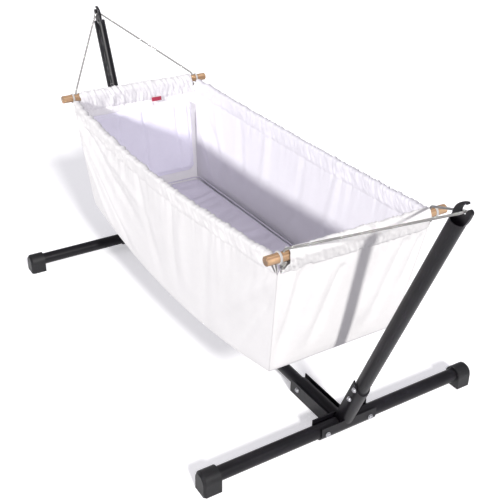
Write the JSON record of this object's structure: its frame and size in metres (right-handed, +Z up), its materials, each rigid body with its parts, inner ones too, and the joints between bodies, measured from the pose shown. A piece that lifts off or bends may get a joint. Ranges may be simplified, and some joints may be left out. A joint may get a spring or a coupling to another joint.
{
  "type": "baby cradle",
  "caption": "Trough-shaped white cotton hammock cradle hung by cords between two outward-leaning black steel posts on a floor stand, with wooden spreader rods.",
  "frame": {"origin": "centre of the stand's footprint on the floor", "axes": "+X along the cradle towards the foot end, +Y across it towards the far side, +Z up"},
  "size_m": [1.5626, 0.7292, 0.6726],
  "materials": {
    "black_powder_coat": "satin black powder coat",
    "blackened_steel": "blackened steel",
    "plated_steel": "zinc plated",
    "black_plastic": "moulded, fine texture",
    "light_wood": "clear oiled hardwood",
    "white_cotton": "plain woven cotton canvas",
    "quilt_cotton": "soft woven cotton cover",
    "cotton_cord": "braided cotton",
    "tag_cloth": "woven ribbon, blank"
  },
  "bodies": {
    "stand": {"beam_tube": "black_powder_coat", "foot_beam_bolt": "plated_steel", "foot_beam_channel": "black_powder_coat", "foot_beam_nut": "plated_steel", "foot_beam_sleeve": "black_powder_coat", "foot_cap_far": "black_plastic", "foot_cap_near": "black_plastic", "foot_cross_channel": "black_powder_coat", "foot_crossbar_bolts": "plated_steel", "foot_crossbar_far": "black_powder_coat", "foot_crossbar_near": "black_powder_coat", "foot_crossbar_nuts": "blackened_steel", "foot_hook_plate": "black_powder_coat", "foot_post": "black_powder_coat", "foot_post_bolts": "plated_steel", "foot_post_channel": "black_powder_coat", "foot_post_nuts": "plated_steel", "head_beam_bolt": "plated_steel", "head_beam_channel": "black_powder_coat", "head_beam_nut": "plated_steel", "head_beam_sleeve": "black_powder_coat", "head_cap_far": "black_plastic", "head_cap_near": "black_plastic", "head_cross_channel": "black_powder_coat", "head_crossbar_bolts": "plated_steel", "head_crossbar_far": "black_powder_coat", "head_crossbar_near": "black_powder_coat", "head_crossbar_nuts": "blackened_steel", "head_hook_plate": "black_powder_coat", "head_post": "black_powder_coat", "head_post_bolts": "plated_steel", "head_post_channel": "black_powder_coat", "head_post_nuts": "plated_steel"},
    "cradle": {"bottom_panel": "white_cotton", "far_drawcord": "cotton_cord", "far_side_panel": "white_cotton", "far_top_hem": "white_cotton", "foot_knot_far": "cotton_cord", "foot_knot_near": "cotton_cord", "foot_panel": "white_cotton", "foot_rod": "light_wood", "foot_rod_casing": "white_cotton", "foot_sling_cord": "cotton_cord", "foot_wrap_far": "cotton_cord", "foot_wrap_near": "cotton_cord", "head_bumper": "quilt_cotton", "head_knot_far": "cotton_cord", "head_knot_near": "cotton_cord", "head_panel": "white_cotton", "head_rod": "light_wood", "head_rod_casing": "white_cotton", "head_sling_cord": "cotton_cord", "head_tag": "tag_cloth", "head_wrap_far": "cotton_cord", "head_wrap_near": "cotton_cord", "mattress": "quilt_cotton", "near_drawcord": "cotton_cord", "near_side_panel": "white_cotton", "near_top_hem": "white_cotton"}
  },
  "joints": [
    {"name": "cradle_swing", "type": "hinge", "parent": "stand", "child": "cradle", "pos_m": [0, 0, 0.65082], "axis": [1, 0, 0], "range_deg": [-12, 12]}
  ]
}
